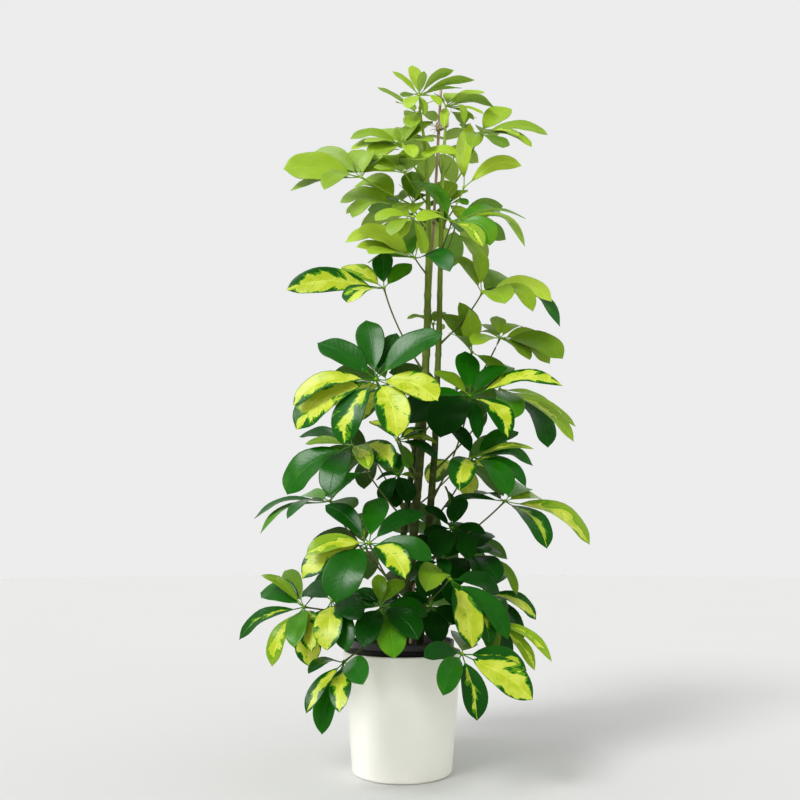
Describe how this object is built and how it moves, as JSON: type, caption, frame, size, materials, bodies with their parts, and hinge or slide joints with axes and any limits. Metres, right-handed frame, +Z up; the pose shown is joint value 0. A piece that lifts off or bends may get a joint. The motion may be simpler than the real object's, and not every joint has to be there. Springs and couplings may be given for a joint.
{
  "type": "potted umbrella plant",
  "caption": "Tall variegated umbrella plant with whorled compound leaves on woody stems, staked, in a plain tapered white pot.",
  "frame": {"origin": "middle of the pot's flat underside", "axes": "+Z up, -Y towards the front that the picture shows, +X to its right"},
  "size_m": [0.4933, 0.4092, 1.0942],
  "materials": {
    "white_pot": "smooth satin white, fine moulded rim",
    "grower_pot": "thin black moulded plastic, dusty matt",
    "soil": "dark crumbly potting mix with fibres",
    "stem": "green-brown woody stem with leaf scars",
    "stake": "pale pinkish bamboo cane with nodes",
    "raffia": "pale dry raffia, frayed",
    "leaf_lime": "thin young yellow-green leaf, satin, light midrib",
    "leaf_mid": "mid-green leaf, satin, paler underside",
    "leaf_olive": "olive leaf seen from below, satin",
    "leaf_gold": "glossy green leaf with a jagged golden-yellow centre",
    "leaf_green": "glossy deep-green leathery leaf, light midrib"
  },
  "bodies": {
    "root": {"cover_pot": "white_pot", "grower_pot": "grower_pot", "leaf_back_broad": "leaf_green", "leaf_back_crown": "leaf_lime", "leaf_back_hero": "leaf_gold", "leaf_back_low": "leaf_green", "leaf_back_low_left": "leaf_gold", "leaf_back_low_right": "leaf_green", "leaf_back_neck": "leaf_mid", "leaf_back_neck_right": "leaf_mid", "leaf_back_waist_left": "leaf_green", "leaf_back_waist_right": "leaf_gold", "leaf_crown_left": "leaf_lime", "leaf_crown_low": "leaf_lime", "leaf_crown_right": "leaf_lime", "leaf_gold_long": "leaf_gold", "leaf_hero_lower": "leaf_gold", "leaf_hero_upper": "leaf_gold", "leaf_inner_dark": "leaf_green", "leaf_inner_gold": "leaf_gold", "leaf_inner_low": "leaf_green", "leaf_inner_right": "leaf_green", "leaf_inner_shade": "leaf_green", "leaf_left_arch": "leaf_mid", "leaf_left_low": "leaf_green", "leaf_left_low_gold": "leaf_gold", "leaf_left_mid": "leaf_green", "leaf_left_pale": "leaf_mid", "leaf_left_thin": "leaf_green", "leaf_mid_bright": "leaf_lime", "leaf_neck_left": "leaf_mid", "leaf_neck_right": "leaf_mid", "leaf_pot_front": "leaf_green", "leaf_pot_left": "leaf_green", "leaf_pot_right": "leaf_gold", "leaf_right_arch": "leaf_olive", "leaf_right_broad": "leaf_green", "leaf_right_fan": "leaf_green", "leaf_right_gold": "leaf_gold", "leaf_right_lime": "leaf_gold", "leaf_right_low": "leaf_gold", "leaf_right_low_gold": "leaf_gold", "leaf_right_olive": "leaf_olive", "leaf_right_olive_low": "leaf_olive", "leaf_right_small": "leaf_olive", "leaf_right_yellow": "leaf_gold", "leaf_right_yellow_low": "leaf_gold", "leaf_stub": "leaf_olive", "leaf_upper_centre": "leaf_lime", "leaf_upper_fold": "leaf_lime", "leaf_upper_left": "leaf_lime", "leaf_upper_mid": "leaf_lime", "leaf_upper_right": "leaf_lime", "leaf_upper_stalk": "leaf_lime", "raffia_tie": "raffia", "soil": "soil", "stake": "stake", "stem_low": "stem", "stem_right": "stem", "stem_tall": "stem"}
  },
  "joints": []
}
